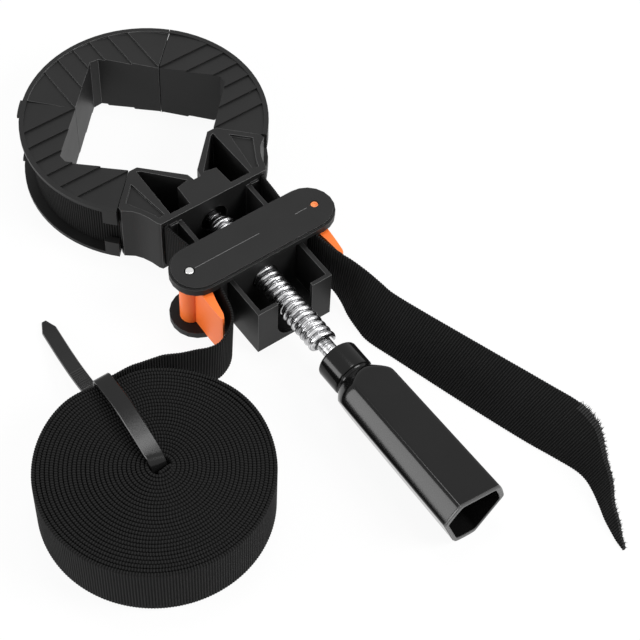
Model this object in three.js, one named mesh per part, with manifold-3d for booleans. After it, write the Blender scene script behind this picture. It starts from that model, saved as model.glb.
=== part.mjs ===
// Band clamp for frames: four V jaws on a webbing band, drawn tight by a screw and held by two cam levers.
// Millimetres, +Z up, the handle towards -Y. The ring's shapes are laid out about the ring's centre, and
// all that follows the screw about the carriage.
import * as THREE from "three";
import { mergeVertices } from "three/addons/utils/BufferGeometryUtils.js";
import Module from "manifold-3d";

const wasm = await Module();
wasm.setup();

// Fits, overruns and steps
const fit = 0.3;
const overrun = 1;
const weldStep = 1e-4;
const arcSteps = 20;
const roundSteps = 16;

// Band
const bandWidth = 25;
const bandThickness = 1.2;

// Ring of jaws
const ringRadius = 52.1;
const flange = 1.7;
const grooveClearance = 0.3;
const ringHeight = bandWidth + 2 * (flange + grooveClearance);
const bandRingBottom = flange + grooveClearance;
const grooveDepth = 5.8;
const grooveRadius = ringRadius - grooveDepth;
const bandRadius = grooveRadius + fit + bandThickness / 2;
const cornerWall = 6.6;
const cornerFlat = 4;
const windowHalf = (grooveRadius - cornerWall + cornerFlat / 2) * Math.SQRT1_2;
const seamGap = 0.4;
const toothPitch = 8.34;
const toothLines = 6;
const toothCrest = 0.1;
const toothDepth = 0.9;
const rimWidth = 2;
const tabLength = 6;
const tabHeight = 8.5;
const tabInset = 0.3;
const tabThickness = 3;
const proud = 0.9;
const proudLength = 9;
const proudInset = 0.2;

// Head: half outlines as shares of the ring's radius, from the apex of the V round to the rear
const headSetback = 2.1;
const headFaceHalf = windowHalf - headSetback;
const apexShares = [0.031, -0.766];
const apexCutShare = 0.044;
const noseCutShare = 0.3;
const noseShares = [0.332, -0.411];
const wingOuterShares = [[0.668, -0.674], [0.672, -0.716], [0.603, -0.77], [0.564, -0.825], [0.532, -0.896],
  [0.509, -0.975]];
const wingBandShares = [[0.601, -0.681], [0.557, -0.727], [0.511, -0.794], [0.474, -0.873], [0.457, -0.956]];
const deepPocketShares = [[0.361, -0.449], [0.328, -0.464], [0.077, -0.743], [0.182, -0.764], [0.192, -0.952],
  [0.372, -0.954]];
const recessShares = [[0.463, -0.532], [0.599, -0.668], [0.545, -0.768], [0.482, -0.889], [0.466, -0.942],
  [0.413, -0.931]];
const headRearShare = 1.002;
const headRear = -headRearShare * ringRadius;
const bandExitX = 23.5;
const bandExitOverhang = 0.8;
const rearCornerX = 25.6;
const pocketFloor = 2;
const recessDepth = 1.1;
const slotClearance = 0.35;
const slotLeadInShares = [0.691, -0.591];
const mouthWidth = 3.4;
const mouthDepth = 2.6;
const ledgeInnerX = 17.9;
const ledgeOuterX = 21.5;
const ledgeReach = 1;
const ledgeThickness = 1;
const ledgeDrop = 3;

// Channel
const channelHalf = 17.7;
const channelWall = 1.9;
const channelDrop = 3.5;
const channelTop = ringHeight - channelDrop;
const channelBottom = 0.8;
const channelFloor = 2.4;
const channelLength = 57.2;
const channelRear = headRear - channelLength;
const endWall = 1.6;
const endSlotHalf = 8.3;
const endSlotCentre = 10.7;

// Screw
const axisHeight = 15.4;
const threadMajor = 5.8;
const threadRoot = 4.6;
const threadPitch = 3;
const threadCrestStartShare = 0.35;
const threadCrestEndShare = 0.6;
const threadStart = 2.8;
const threadLength = 72;
const threadFront = headRear - threadStart;
const shankRadius = 3.2;
const noseRadius = 3.2;
const noseLength = 8.6;
const noseFront = headRear + noseLength;
const noseClearance = 0.6;
const clipGrooveInset = 1.2;
const clipGrooveFront = noseFront - clipGrooveInset;
const clipGrooveWidth = 1.6;
const clipGrooveRadius = 2.4;
const clipRadius = 5.2;
const clipMouthShare = 0.75;
const washerRadius = 6.2;
const washerSeatDepth = 3.6;
const washerThickness = 1;
const washerStandOff = 2.3;
const screwSides = 14;

// Carriage
const carriageGap = 27.7;
const carriageY = headRear - carriageGap;
const lowerPlateTop = 3;
const camClearance = 0.35;
const bandCamBottom = lowerPlateTop + camClearance;
const plateBottom = bandCamBottom + bandWidth + camClearance;
const plateThickness = 3;
const plateTop = plateBottom + plateThickness;
const plateHalf = 11.3;
const plateEndX = 26.7;
const plateStep = 0.95;
const lowerHalf = 11.7;
const collarInnerX = 23.7;
const collarDepth = 1.1;
const bandCamX = 21.7;
const webClearance = 0.4;
const webInner = channelHalf + webClearance;
const webOuter = 20.8;
const webHalf = 8.6;
const blockHalf = 14.9;
const blockHalfLength = 9;
const blockLift = 0.8;
const blockBottom = channelFloor + blockLift;
const nutHalf = 9;
const nutHalfLength = 4.2;
const pinX = 30.1;
const pinRadius = 1.9;
const pinFoot = 0.4;
const pinHead = 0.25;
const pinSink = 3.8;
const sunkHoleRadius = 2.9;

// Cam levers: the tongue's outline about its pin, in shares of its length, for the left lever
const leverLength = 23.7;
const leverBottom = lowerPlateTop + fit;
const leverTop = plateBottom - collarDepth - 3 * fit;
const hubRadius = 4.6;
const hubRise = 2 * fit;
const hubRiseRadius = 3.6;
const tongueShares = [[-0.025, -0.177], [-0.038, -0.637], [-0.034, -0.954], [-0.017, -1], [0.013, -1],
  [0.055, -0.911], [0.11, -0.616], [0.181, -0.342], [0.249, -0.198], [0.302, -0.089], [0.274, 0.013],
  [0.19, 0.097], [0.11, 0.173], [0, 0.211]];
const rightLean = 7;

// Handle
const neckGap = 27.7;
const collarFront = channelRear - neckGap;
const collarLength = 12;
const collarRear = collarFront - collarLength;
const handleCollarRadius = 8.9;
const collarRound = 0.6;
const neckRadius = 7.4;
const neckLength = 4.5;
const gripFront = collarRear - neckLength;
const gripLength = 69.5;
const gripRear = gripFront - gripLength;
const gripFlat = 11.5;
const gripChamfer = 14.5;
const gripWall = 2.6;
const gripTilt = -10;
const gripFrontShare = 0.93;
const gripShoulder = 6;
const gripShoulderRise = 0.6;
const gripClearance = 1.2;
const gripRoot = 2;
const gripHollow = 63;
const shankGrip = 8;

// Coil, beside the carriage: its loops are pressed in where the tie crosses them and slack on one side
const coilX = -88.2;
const coilBack = 65.1;
const coilRadius = 45.6;
const coilPitch = 1.75;
const coilInner = 4.6;
const coilBottom = 1.5;
const coilSteps = 24;
const coilStart = 78;
const coreShiftX = 1.5;
const coreShiftY = -0.3;
const tieDent = 2.6;
const tieDentTurn = 84.5;
const tieDentSpread = 14;
const slack = 1.2;
const slackTurn = 12;
const slackSpread = 24;
const slackLoops = 3;

// Cable tie
const tieWidth = 6.9;
const tieTailWidth = 6.4;
const tieThickness = 1.1;
const lockHalf = 4.2;
const lockX = -84;
const lockFront = -15.7;
const lockRear = -21.1;
const lockBottom = 6.5;
const lockTop = 13.5;

// Builds one closed solid from any three.js geometry, and turns it facing out.
function solid(geometry) {
  const bare = new THREE.BufferGeometry();
  bare.setAttribute("position", geometry.getAttribute("position").clone());
  if (geometry.index) bare.setIndex(geometry.index.clone());
  const welded = mergeVertices(bare, weldStep);
  const kept = [];
  const index = welded.index.array;
  for (let i = 0; i < index.length; i += 3) {
    const [a, b, c] = [index[i], index[i + 1], index[i + 2]];
    if (a !== b && b !== c && c !== a) kept.push(a, b, c);
  }
  const vertProperties = welded.attributes.position.array;
  const build = (triVerts) => new wasm.Manifold(new wasm.Mesh({ numProp: 3, vertProperties, triVerts }));
  const made = build(new Uint32Array(kept));
  if (made.volume() >= 0) return made;
  for (let i = 0; i < kept.length; i += 3) [kept[i + 1], kept[i + 2]] = [kept[i + 2], kept[i + 1]];
  return build(new Uint32Array(kept));
}

const union = (first, ...rest) => rest.reduce((sum, next) => sum.add(next), first);
const minus = (first, ...rest) => rest.reduce((left, next) => left.subtract(next), first);

function box(x0, x1, y0, y1, z0, z1) {
  const geometry = new THREE.BoxGeometry(Math.abs(x1 - x0), Math.abs(y1 - y0), Math.abs(z1 - z0));
  return solid(geometry.translate((x0 + x1) / 2, (y0 + y1) / 2, (z0 + z1) / 2));
}

// Upright prism over a plan outline.
function prism(outline, z0, z1) {
  const shape = new THREE.Shape(outline.map(([x, y]) => new THREE.Vector2(x, y)));
  return solid(new THREE.ExtrudeGeometry(shape, { depth: z1 - z0, bevelEnabled: false }).translate(0, 0, z0));
}

function post(x, y, radius, z0, z1) {
  const geometry = new THREE.CylinderGeometry(radius, radius, z1 - z0, roundSteps).rotateX(Math.PI / 2);
  return solid(geometry.translate(x, y, (z0 + z1) / 2));
}

// Solid of revolution about the screw's axis, from [radius, y] pairs that start and end on the axis.
function revolve(profile, steps = roundSteps) {
  const points = profile.map(([radius, y]) => new THREE.Vector2(radius, y));
  return solid(new THREE.LatheGeometry(points, steps).translate(0, 0, axisHeight));
}
const rod = (radius, y0, y1, steps) => revolve([[0, y0], [radius, y0], [radius, y1], [0, y1]], steps);

const mirrored = (points, side) => points.map(([x, y]) => [x * side, y]);
const scaled = (shares, size) => shares.map(([x, y]) => [x * size, y * size]);

// Closed strap through stations, each with a lower and an upper edge point.
function strap(stations, thickness) {
  const count = stations.length;
  const position = [];
  stations.forEach(([low, high], i) => {
    const before = stations[Math.max(i - 1, 0)];
    const after = stations[Math.min(i + 1, count - 1)];
    for (const [edge, a, b] of [[low, before[0], after[0]], [high, before[1], after[1]]]) {
      const along = new THREE.Vector3().subVectors(new THREE.Vector3(...b), new THREE.Vector3(...a));
      const across = new THREE.Vector3().subVectors(new THREE.Vector3(...high), new THREE.Vector3(...low));
      const out = along.cross(across).normalize().multiplyScalar(thickness / 2);
      for (const sign of [1, -1])
        position.push(edge[0] + sign * out.x, edge[1] + sign * out.y, edge[2] + sign * out.z);
    }
  });
  const index = [0, 2, 3, 0, 3, 1];
  const ring = [0, 2, 3, 1];
  for (let i = 0; i < count - 1; i++)
    for (let k = 0; k < ring.length; k++) {
      const [p, q] = [4 * i + ring[k], 4 * i + ring[(k + 1) % ring.length]];
      index.push(p, q + 4, q, p, p + 4, q + 4);
    }
  const last = 4 * (count - 1);
  index.push(last, last + 1, last + 3, last, last + 3, last + 2);
  const geometry = new THREE.BufferGeometry();
  geometry.setAttribute("position", new THREE.Float32BufferAttribute(position, 3));
  return solid(geometry.setIndex(index));
}

// Band standing on edge along a plan path, each point with its own bottom height.
const onEdge = (path) => path.map(([x, y, z]) => [[x, y, z], [x, y, z + bandWidth]]);

// Band that leans: each point gives its lower edge, its lean in X and Y as shares of the width, and how much
// of the width is left there.
function leaning(route) {
  return route.map(([x, y, z, leanX, leanY, leftShare = 1]) => {
    const width = bandWidth * leftShare;
    const rise = Math.sqrt(1 - leanX * leanX - leanY * leanY);
    return [[x, y, z], [x + leanX * width, y + leanY * width, z + rise * width]];
  });
}

function arc(cx, cy, radius, from, to, steps) {
  const points = [];
  for (let i = 0; i <= steps; i++) {
    const turn = THREE.MathUtils.degToRad(from + ((to - from) * i) / steps);
    points.push([cx + radius * Math.cos(turn), cy + radius * Math.sin(turn)]);
  }
  return points;
}

// Saw-tooth cutter along Y for a jaw's top: each tooth falls from its crest towards +X, or towards -X.
function saw(fall) {
  const first = -((toothLines - 1) / 2) * toothPitch;
  const end = ringRadius * Math.SQRT1_2;
  const profile = [[-end, overrun], [-end, -toothCrest], [first, -toothDepth]];
  for (let i = 0; i < toothLines; i++) {
    const x = first + i * toothPitch;
    const next = i < toothLines - 1 ? x + toothPitch : end;
    profile.push([x, -toothCrest], [next, -toothDepth]);
  }
  profile.push([end, overrun]);
  const shape = new THREE.Shape(profile.map(([x, z]) => new THREE.Vector2(fall * x, z)));
  const geometry = new THREE.ExtrudeGeometry(shape, { depth: ringRadius, bevelEnabled: false });
  return solid(geometry.rotateX(Math.PI / 2).translate(0, ringRadius, ringHeight));
}

// One jaw, laid out about +Y. tab and stand say at which end (-1 or 1) the tabs and the proud flange are,
// 0 for none, and fall which way its teeth fall.
function jaw(tab, stand, fall) {
  const seam = Math.SQRT1_2 * seamGap;
  const corner = windowHalf * Math.SQRT2;
  const flat = cornerFlat / 2;
  const left = [[(seam - corner) / 2, (seam + corner) / 2], [-flat, corner - flat]];
  const plan = [...left, ...mirrored(left, -1).reverse()];
  const edgeTurn = THREE.MathUtils.radToDeg(Math.asin(seam / 2 / ringRadius)) + 45;
  const outer = arc(0, 0, ringRadius, edgeTurn, 180 - edgeTurn, arcSteps);
  const block = prism([...plan, ...outer], 0, ringHeight);
  const insideRim = arc(0, 0, ringRadius - rimWidth, 0, 180, 2 * arcSteps);
  const inside = prism(insideRim, -overrun, ringHeight + overrun);
  const upper = saw(fall).intersect(inside);
  const lower = upper.mirror([0, 0, 1]).translate([0, 0, ringHeight]);
  const grooveOuter = arc(0, 0, ringRadius + overrun, 0, 180, 2 * arcSteps);
  const grooveInner = arc(0, 0, grooveRadius, 180, 0, 2 * arcSteps);
  const groove = prism([...grooveOuter, ...grooveInner], flange, ringHeight - flange);
  const parts = [minus(block, upper, lower, groove)];
  const end = (side, radius, length, depth, z0, z1) => {
    const from = side > 0 ? edgeTurn : 180 - edgeTurn;
    const to = from + side * THREE.MathUtils.radToDeg(length / radius);
    return prism([...arc(0, 0, radius, from, to, 4), ...arc(0, 0, radius - depth, to, from, 4)], z0, z1);
  };
  if (tab) {
    parts.push(end(tab, ringRadius, tabLength, tabThickness, tabInset, tabHeight));
    parts.push(end(tab, ringRadius, tabLength, tabThickness, ringHeight - tabHeight, ringHeight - tabInset));
  }
  if (stand)
    for (const z of [proudInset, ringHeight - flange + proudInset])
      parts.push(end(stand, ringRadius + proud, proudLength, 3 * proud, z, z + flange - 2 * proudInset));
  return union(...parts);
}

function channelBox() {
  const outer = box(-channelHalf, channelHalf, headRear + overrun, channelRear, channelBottom, channelTop);
  const inside = channelHalf - channelWall;
  const inner = box(-inside, inside, headRear, channelRear + endWall, channelFloor, channelTop + overrun);
  const slotRear = channelRear - overrun;
  const slotFront = channelRear + endWall + overrun;
  const bend = new THREE.CylinderGeometry(endSlotHalf, endSlotHalf, slotFront - slotRear, 2 * roundSteps);
  const slot = union(
    box(-endSlotHalf, endSlotHalf, slotRear, slotFront, endSlotCentre, channelTop + overrun),
    solid(bend.translate(0, (slotRear + slotFront) / 2, endSlotCentre)));
  return minus(outer, inner, slot);
}

// Where the band runs inside a wing, from its mouth on the seam to its exit at the rear.
const wingBandPath = [...scaled(wingBandShares, ringRadius), [bandExitX, headRear - bandExitOverhang]];

function clampBody() {
  const nearSeam = noseShares[1] * ringRadius - Math.SQRT1_2 * seamGap;
  const faceCorner = headFaceHalf * Math.SQRT2;
  const [apexCut, noseCut] = [apexCutShare * ringRadius, noseCutShare * ringRadius];
  const half = [...scaled([apexShares], ringRadius), [apexCut, apexCut - faceCorner],
    [noseCut, noseCut - faceCorner], ...scaled([noseShares], ringRadius),
    [-nearSeam - Math.SQRT2 * seamGap, noseShares[1] * ringRadius], ...scaled(wingOuterShares, ringRadius),
    [rearCornerX, headRear]];
  const outline = [...half, ...mirrored(half, -1).reverse()];
  let body = union(prism(outline, 0, ringHeight), channelBox());
  const slotHalf = bandThickness / 2 + slotClearance;
  const slotTop = ringHeight - flange;
  const slotPath = [...scaled([slotLeadInShares], ringRadius), ...wingBandPath.slice(0, -1),
    [bandExitX, headRear - overrun]];
  const [mouthInner, mouthOuter] = [bandRadius - mouthWidth / 2, bandRadius + mouthWidth / 2];
  const mouthBox = [[mouthInner, overrun], [mouthOuter, overrun], [mouthOuter, -mouthDepth],
    [mouthInner, -mouthDepth]];
  const mouth = mouthBox.map(([along, out]) => [(along + out) * Math.SQRT1_2, (out - along) * Math.SQRT1_2]);
  const recess = scaled(recessShares, ringRadius);
  for (const side of [1, -1]) {
    const slot = mirrored(slotPath, side).map(([x, y]) => [[x, y, flange], [x, y, slotTop]]);
    body = minus(body,
      strap(slot, 2 * slotHalf),
      prism(mirrored(mouth, side), flange, slotTop),
      prism(mirrored(scaled(deepPocketShares, ringRadius), side), pocketFloor, ringHeight + overrun),
      prism(mirrored(recess, side), ringHeight - recessDepth, ringHeight + overrun));
    const ledgeTop = ringHeight - ledgeDrop;
    body = body.add(box(side * ledgeInnerX, side * ledgeOuterX, headRear + overrun, headRear - ledgeReach,
      ledgeTop - ledgeThickness, ledgeTop));
  }
  // Bore for the screw's nose, washer seat, and the slot from below that takes the nose clip.
  const [clipRear, clipFront] = [clipGrooveFront - clipGrooveWidth - fit, clipGrooveFront + fit];
  return minus(body,
    rod(noseRadius + fit, headRear - overrun, noseFront + noseClearance),
    rod(washerRadius + fit, headRear - overrun, headRear + washerSeatDepth),
    box(-washerRadius, washerRadius, clipRear, clipFront, -overrun, axisHeight + washerRadius));
}

function thrustWasher() {
  const front = headRear + washerStandOff;
  return minus(rod(washerRadius, front - washerThickness, front),
    rod(noseRadius + fit, front - washerThickness - overrun, front + overrun));
}

function noseClip() {
  const rear = clipGrooveFront - clipGrooveWidth + fit;
  const front = clipGrooveFront - fit;
  const mouth = clipGrooveRadius * clipMouthShare;
  return minus(rod(clipRadius, rear, front), rod(clipGrooveRadius + fit, rear - overrun, front + overrun),
    box(-mouth, mouth, rear - overrun, front + overrun, 0, axisHeight));
}

function screw() {
  const clipRear = clipGrooveFront - clipGrooveWidth;
  const profile = [[0, noseFront], [noseRadius, noseFront], [noseRadius, clipGrooveFront],
    [clipGrooveRadius, clipGrooveFront], [clipGrooveRadius, clipRear], [noseRadius, clipRear],
    [noseRadius, threadFront]];
  const turns = Math.floor(threadLength / threadPitch);
  for (let i = 0; i < turns; i++) {
    const y = threadFront - i * threadPitch;
    profile.push([threadRoot, y], [threadMajor, y - threadPitch * threadCrestStartShare],
      [threadMajor, y - threadPitch * threadCrestEndShare]);
  }
  const end = threadFront - turns * threadPitch;
  profile.push([threadRoot, end], [shankRadius, end - overrun], [shankRadius, collarFront - shankGrip],
    [0, collarFront - shankGrip]);
  return revolve(profile, screwSides);
}

// Plan outline of a plate with round ends.
function stadium(endX, half) {
  const right = arc(endX, 0, half, -90, 90, arcSteps / 2);
  return [...right, ...mirrored(right, -1).reverse()];
}

function carriage() {
  const far = 2 * plateHalf;
  const collarBottom = plateBottom - collarDepth;
  const joined = plateBottom + overrun;
  const lower = prism(stadium(plateEndX, lowerHalf), 0, lowerPlateTop)
    .subtract(box(-webInner, webInner, -far, far, -overrun, lowerPlateTop + overrun));
  const upper = prism(stadium(plateEndX, plateHalf), collarBottom, plateTop - plateStep)
    .subtract(box(-collarInnerX, collarInnerX, -far, far, collarBottom - overrun, plateBottom));
  const pieces = [upper, prism(stadium(plateEndX, plateHalf - plateStep), plateBottom, plateTop)];
  for (const side of [1, -1])
    pieces.push(box(side * webInner, side * webOuter, -webHalf, webHalf, lowerPlateTop / 2, joined));
  pieces.push(lower, box(-blockHalf, blockHalf, -blockHalfLength, blockHalfLength, blockBottom, joined));
  const nutRoom = nutHalfLength + fit;
  let made = minus(union(...pieces),
    rod(threadMajor + fit, -far, far),
    box(-nutHalf - fit, nutHalf + fit, -nutRoom, nutRoom, 0, axisHeight + nutHalf + fit));
  for (const side of [1, -1])
    made = made.subtract(post(side * pinX, 0, pinRadius + fit, -overrun, plateTop + overrun));
  return made.subtract(post(pinX, 0, sunkHoleRadius, collarBottom - overrun, plateTop + overrun));
}

const nut = () => minus(
  box(-nutHalf, nutHalf, -nutHalfLength, nutHalfLength, axisHeight - nutHalf, axisHeight + nutHalf),
  rod(threadMajor + fit, -2 * nutHalfLength, 2 * nutHalfLength));

// Left lever about its pin; the right one is its mirror image, turned a little inwards.
function lever() {
  const body = union(prism(scaled(tongueShares, leverLength), leverBottom, leverTop),
    post(0, 0, hubRadius, leverBottom, leverTop),
    post(0, 0, hubRiseRadius, leverTop - overrun, leverTop + hubRise));
  return body.subtract(post(0, 0, pinRadius + fit, leverBottom - overrun, plateBottom));
}

// Three flats and three chamfers about the screw's axis.
function gripOutline(shrink) {
  const points = [];
  for (let i = 0; i < 3; i++) {
    const turn = THREE.MathUtils.degToRad(150 + gripTilt + 120 * i);
    const chamfer = gripChamfer - shrink;
    const half = (2 * (gripFlat - shrink) - chamfer) * Math.tan(Math.PI / 6);
    for (const sign of [-1, 1])
      points.push([chamfer * Math.cos(turn) - sign * half * Math.sin(turn),
        chamfer * Math.sin(turn) + sign * half * Math.cos(turn)]);
  }
  return points;
}

// Prism along the screw's axis over a cross-section, narrowing towards the grip's front.
function bar(outline, y0, y1) {
  const shape = new THREE.Shape(outline.map(([x, z]) => new THREE.Vector2(x, z)));
  const geometry = new THREE.ExtrudeGeometry(shape, { depth: y0 - y1, bevelEnabled: false });
  geometry.rotateX(Math.PI / 2).translate(0, y0, 0);
  const position = geometry.getAttribute("position");
  for (let i = 0; i < position.count; i++) {
    const share = THREE.MathUtils.mapLinear(position.getY(i), gripRear, gripFront, 1, gripFrontShare);
    position.setXYZ(i, position.getX(i) * share, position.getY(i), position.getZ(i) * share);
  }
  return solid(geometry.translate(0, 0, axisHeight));
}

function handle() {
  const widest = gripChamfer + gripClearance;
  const shoulder = revolve([[0, gripFront + gripRoot], [neckRadius + overrun, gripFront + gripRoot],
    [gripFlat + gripShoulderRise, gripFront], [widest, gripFront - gripShoulder],
    [widest, gripRear - overrun], [0, gripRear - overrun]], 2 * roundSteps);
  const grip = bar(gripOutline(0), gripFront + gripRoot, gripRear).intersect(shoulder);
  const neck = revolve([[0, collarFront], [handleCollarRadius - collarRound, collarFront],
    [handleCollarRadius, collarFront - collarRound], [handleCollarRadius, collarRear],
    [neckRadius, collarRear - overrun], [neckRadius, gripFront - gripRoot],
    [0, gripFront - gripRoot]], 2 * roundSteps);
  return minus(union(neck, grip), bar(gripOutline(gripWall), gripRear + gripHollow, gripRear - overrun),
    rod(shankRadius + fit, collarFront + overrun, collarFront - shankGrip - fit));
}

// Band round the jaws and through the head
function ringArc(from, to) {
  return onEdge(arc(0, 0, bandRadius, from, to, arcSteps).map(([x, y]) => [x, y, bandRingBottom]));
}
const seamTurn = THREE.MathUtils.radToDeg(seamGap / 2 / bandRadius);
const mouthTurn = 1.5;

function headBand(side) {
  const start = arc(0, 0, bandRadius, -45 - seamTurn, -45 - mouthTurn, 1);
  const path = [...start, ...wingBandPath].map(([x, y]) => [x * side, y, bandRingBottom]);
  return onEdge(side > 0 ? path : path.reverse());
}

// Band from the head's exit to the carriage, at the cam's height before it passes the lower plate.
function pullBand(side) {
  const plateFront = carriageY + lowerHalf + overrun;
  return onEdge([
    [side * bandExitX, headRear - bandExitOverhang - seamGap, bandRingBottom],
    [side * (bandCamX + camClearance), plateFront, bandCamBottom],
    [side * bandCamX, carriageY + webHalf / 2, bandCamBottom],
    [side * bandCamX, carriageY + seamGap / 2, bandCamBottom]]);
}

// Routes of the free band, about the carriage. First the lead from the left cam round the tongue to the coil.
const leadRoute = [[-21.7, -0.2, 3.35, 0, 0], [-21.7, -3.1, 3.35, 0, 0], [-22.1, -7.1, 3.35, 0, 0],
  [-23.2, -12.1, 3.2, 0, 0], [-23.9, -14.9, 2.8, 0.01, 0], [-25.3, -19.9, 2, 0.03, 0.01],
  [-27.4, -24.4, 1.2, 0.06, 0.04], [-30.2, -27.4, 0.5, 0.06, 0.02], [-33.6, -29.3, 0.2, 0.03, -0.01],
  [-37.2, -30.4, 0.2, 0, -0.04],
  [-42, -30.2, 0.2, 0, -0.03], [-46, -28.8, 0.2, 0, -0.02], [-52, -26.6, 0.2, 0, -0.02],
  [-57.8, -24.2, 0.2, 0, 0], [-62, -23.2, 0.3, 0, 0], [-67, -22.5, 0.8, 0, 0], [-72, -21.8, 1.2, 0, 0],
  [-78.6, -21.5, 1.5, 0, 0]];

// The tail from the right cam, leaning outwards as it falls flat, to its slanting cut.
const tailRoute = [[21.7, -0.2, 3.35, 0, 0], [21.7, -3.1, 3.35, 0, 0], [22.2, -7.1, 3.35, 0, 0],
  [23.3, -12.1, 3.3, 0, 0], [24.1, -16.6, 3.1, 0, 0], [24.5, -20.8, 2.8, 0.02, 0.01],
  [24.6, -24.5, 2.3, 0.06, 0.02], [24.2, -29.1, 1.3, 0.17, 0.02], [22.9, -35.1, 0.5, 0.32, 0],
  [22, -42.6, 0.4, 0.42, 0.02], [22, -50.1, 0.4, 0.47, 0.06], [26.1, -64.5, 0.4, 0.47, 0.12],
  [34.5, -93.5, 0.5, 0.55, 0.17], [42.9, -120.4, 0.5, 0.61, 0.2], [48.3, -135.2, 0.5, 0.55, 0.23],
  [51.2, -143.6, 0.5, 0.46, 0.2, 0.94], [51.9, -149.1, 0.5, 0.44, 0.25, 0.85],
  [50.9, -154.7, 0.5, 0.45, 0.2, 0.63], [48.6, -161.6, 0.5, 0.5, 0.17, 0.47],
  [46.3, -167.6, 0.5, 0.47, 0.13, 0.31], [44.8, -173.1, 0.5, 0.5, 0.04, 0.19],
  [43.9, -177.1, 0.5, 0.5, 0, 0.11], [43.6, -181.2, 0.4, 0.3, 0, 0.05]];

function coilPath() {
  const outer = coilRadius - bandThickness / 2;
  const loops = (outer - coilInner) / coilPitch;
  const count = Math.round(loops * coilSteps);
  const near = (turn, place, spread) => {
    const away = THREE.MathUtils.euclideanModulo(turn - place + 180, 360) - 180;
    return Math.exp(-((away / spread) ** 2));
  };
  const points = [];
  for (let i = 0; i <= count; i++) {
    const done = i / coilSteps;
    const degrees = coilStart + done * 360;
    const turn = THREE.MathUtils.degToRad(degrees);
    const dent = tieDent * near(degrees, tieDentTurn, tieDentSpread) * (1 - done / loops);
    const bulge = slack * near(degrees, slackTurn, slackSpread) * Math.max(0, 1 - done / slackLoops);
    const radius = outer - done * coilPitch - dent + bulge;
    const centreX = coilX + (coreShiftX * done) / loops;
    const centreY = -coilBack + (coreShiftY * done) / loops;
    points.push([centreX + radius * Math.cos(turn), centreY + radius * Math.sin(turn), coilBottom]);
  }
  return points;
}

// Least clear gap between the coil's loops, from each point to the stretches at least 3/4 of a loop on.
function coilGap(path) {
  const line = new THREE.Line3();
  const near = new THREE.Vector3();
  const points = path.map((point) => new THREE.Vector3(...point));
  let least = Infinity;
  points.forEach((point, i) => {
    for (let k = i + 0.75 * coilSteps; k < points.length - 1; k++) {
      line.set(points[k], points[k + 1]).closestPointToPoint(point, true, near);
      least = Math.min(least, near.distanceTo(point) - bandThickness);
    }
  });
  return least;
}

// Cable tie: up the coil's far side, over its top, down the core and back beneath. The places are shares of
// the coil's radius from its centre, and the heights shares of the band's width.
const tieLoopShares = [[0.092, 0.972, 0.42], [0.092, 0.972, 0.96], [0.092, 0.971, 1.08],
  [0.09, 0.952, 1.132], [0.086, 0.899, 1.176], [0.072, 0.594, 1.224], [0.05, 0.287, 1.196],
  [0.039, 0.112, 1.148], [0.035, 0.046, 1.104], [0.033, 0.007, 1], [0.033, -0.007, 0.84],
  [0.033, -0.007, 0.16], [0.033, 0.011, 0.064], [0.033, 0.055, 0.028], [0.059, 0.55, 0.028],
  [0.09, 0.961, 0.028], [0.092, 0.967, 0.044], [0.092, 0.972, 0.096], [0.092, 0.972, 0.36]];
const tieTailShares = [[0.086, 0.998, 0.424], [0.07, 1.164, 0.404], [0.083, 1.384, 0.32],
  [0.114, 1.647, 0.196], [0.154, 1.954, 0.08], [0.171, 2.112, 0.048]];

function ribbon(shares, width, thickness) {
  const path = shares.map(([x, y, z]) => [coilX + x * coilRadius, y * coilRadius - coilBack, z * bandWidth]);
  return strap(path.map(([x, y, z]) => [[x - width / 2, y, z], [x + width / 2, y, z]]), thickness);
}

const cableTie = () => union(
  ribbon(tieLoopShares, tieWidth, tieThickness),
  box(lockX - lockHalf, lockX + lockHalf, lockRear, lockFront, lockBottom, lockTop),
  ribbon(tieTailShares, tieTailWidth, tieThickness));

// Materials
function look(color, roughness, metalness = 0) {
  return new THREE.MeshStandardMaterial({ color, roughness, metalness });
}
const blackPlastic = look(0x252525, 0.55);
const glossPlastic = look(0x1c1c1c, 0.22);
const orangePlastic = look(0xf0692a, 0.5);
const zinc = look(0xd8d8d6, 0.25, 1);
const webbing = look(0x161616, 0.9);
const nylon = look(0x1a1a1a, 0.35);

function piece(name, made, material) {
  const data = made.getMesh();
  const position = new Float32Array(data.numVert * 3);
  for (let i = 0; i < data.numVert; i++) {
    const start = i * data.numProp;
    position.set(data.vertProperties.subarray(start, start + 3), i * 3);
  }
  const geometry = new THREE.BufferGeometry();
  geometry.setAttribute("position", new THREE.BufferAttribute(position, 3));
  const mesh = new THREE.Mesh(geometry.setIndex(new THREE.BufferAttribute(data.triVerts, 1)), material);
  mesh.name = name;
  return mesh;
}

const group = (...meshes) => new THREE.Group().add(...meshes);

function placed(mesh, x, turn) {
  mesh.position.x = x;
  mesh.rotation.z = THREE.MathUtils.degToRad(turn);
  return mesh;
}

const head = group(
  piece("clamp_body", clampBody(), blackPlastic),
  piece("thrust_washer", thrustWasher(), zinc),
  piece("band_head_left", strap(headBand(-1), bandThickness), webbing),
  piece("band_head_right", strap(headBand(1), bandThickness), webbing),
  piece("band_pull_left", strap(pullBand(-1), bandThickness), webbing),
  piece("band_pull_right", strap(pullBand(1), bandThickness), webbing));

const drive = group(
  piece("lead_screw", screw(), zinc),
  piece("nose_clip", noseClip(), zinc),
  piece("handle", handle(), glossPlastic));

const coil = coilPath();
console.log("band_coil's least gap between loops: " + coilGap(coil).toFixed(2) + " mm");

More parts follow.
